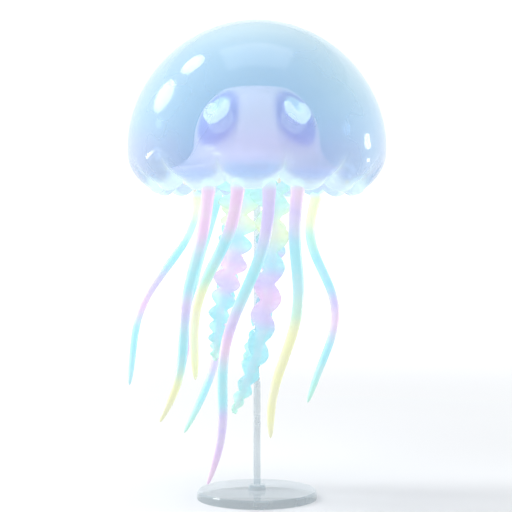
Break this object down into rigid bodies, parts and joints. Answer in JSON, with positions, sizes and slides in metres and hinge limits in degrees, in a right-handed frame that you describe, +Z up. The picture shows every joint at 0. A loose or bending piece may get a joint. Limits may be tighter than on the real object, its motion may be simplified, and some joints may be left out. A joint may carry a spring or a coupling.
{
  "type": "moon jellyfish",
  "caption": "Moon jellyfish (Aurelia aurita), a still life-size display model with its bell drawn in, frilly oral arms and long trailing tentacles, on a plain clear stand.",
  "frame": {"origin": "centre of the stand's foot, on the surface that the model stands on", "axes": "+X to the right in the front view, +Y to the back, +Z up from the foot to the top of the bell"},
  "size_m": [0.2526, 0.2499, 0.461],
  "materials": {
    "bell_jelly": "wet, translucent pale blue jelly",
    "inner_lining": "soft translucent lavender membrane",
    "throat": "milky translucent jelly",
    "gonad": "pale frosted ridge",
    "oral_arm": "thin translucent frill in pale mint, cyan and pink",
    "tentacle": "wet translucent strand that fades between pastel colours",
    "clear_stand": "clear polished acrylic"
  },
  "bodies": {
    "root": {"bell": "bell_jelly", "subumbrella": "inner_lining", "manubrium": "throat", "gonad_1": "gonad", "gonad_2": "gonad", "gonad_3": "gonad", "gonad_4": "gonad", "oral_arm_left_upper": "oral_arm", "oral_arm_left_lower": "oral_arm", "oral_arm_front_upper": "oral_arm", "oral_arm_front_lower": "oral_arm", "oral_arm_right_upper": "oral_arm", "oral_arm_right_lower": "oral_arm", "oral_arm_back_upper": "oral_arm", "oral_arm_back_lower": "oral_arm", "tentacle_1_upper": "tentacle", "tentacle_1_middle": "tentacle", "tentacle_1_tip": "tentacle", "tentacle_2_upper": "tentacle", "tentacle_2_middle": "tentacle", "tentacle_2_tip": "tentacle", "tentacle_3_upper": "tentacle", "tentacle_3_middle": "tentacle", "tentacle_3_tip": "tentacle", "tentacle_4_upper": "tentacle", "tentacle_4_middle": "tentacle", "tentacle_4_tip": "tentacle", "tentacle_5_upper": "tentacle", "tentacle_5_middle": "tentacle", "tentacle_5_tip": "tentacle", "tentacle_6_upper": "tentacle", "tentacle_6_middle": "tentacle", "tentacle_6_tip": "tentacle", "tentacle_7_upper": "tentacle", "tentacle_7_middle": "tentacle", "tentacle_7_tip": "tentacle", "tentacle_8_upper": "tentacle", "tentacle_8_middle": "tentacle", "tentacle_8_tip": "tentacle", "tentacle_9_upper": "tentacle", "tentacle_9_middle": "tentacle", "tentacle_9_tip": "tentacle", "tentacle_10_upper": "tentacle", "tentacle_10_middle": "tentacle", "tentacle_10_tip": "tentacle", "stand_base": "clear_stand", "stand_rod": "clear_stand"}
  },
  "joints": []
}
